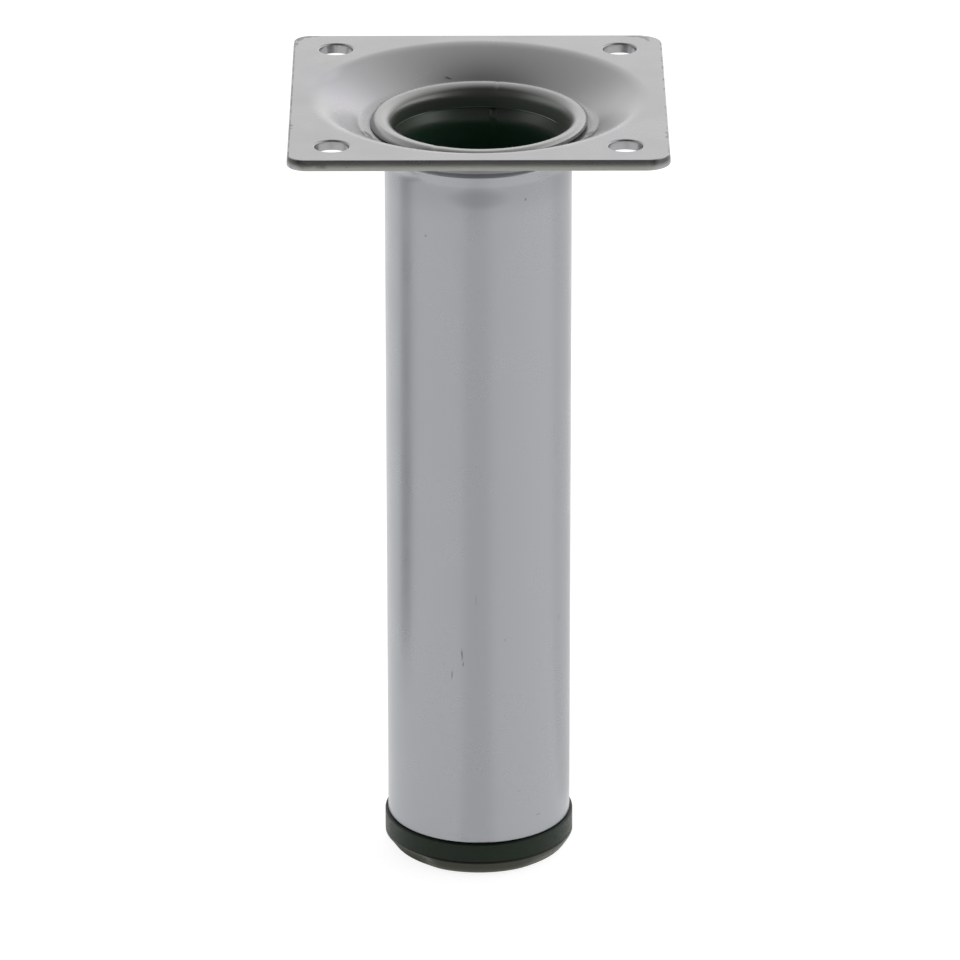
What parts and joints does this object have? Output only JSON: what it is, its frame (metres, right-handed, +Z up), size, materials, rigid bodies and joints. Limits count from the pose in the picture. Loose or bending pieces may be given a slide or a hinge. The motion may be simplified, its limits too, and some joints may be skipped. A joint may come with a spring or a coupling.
{
  "type": "furniture leg",
  "caption": "Round silver-grey steel furniture leg with a square dished screw plate at the top and a black plastic cap on its foot.",
  "frame": {"origin": "centre of the foot's underside, on the floor", "axes": "+Z up the tube towards the mounting plate, X and Y along the plate's sides"},
  "size_m": [0.06, 0.06, 0.13],
  "materials": {
    "plate_paint": "satin silver-grey powder coat",
    "tube_paint": "satin silver-grey powder coat",
    "cap_plastic": "moulded black plastic, slightly worn"
  },
  "bodies": {
    "root": {"mounting_plate": "plate_paint", "tube": "tube_paint", "foot_cap": "cap_plastic"}
  },
  "joints": []
}
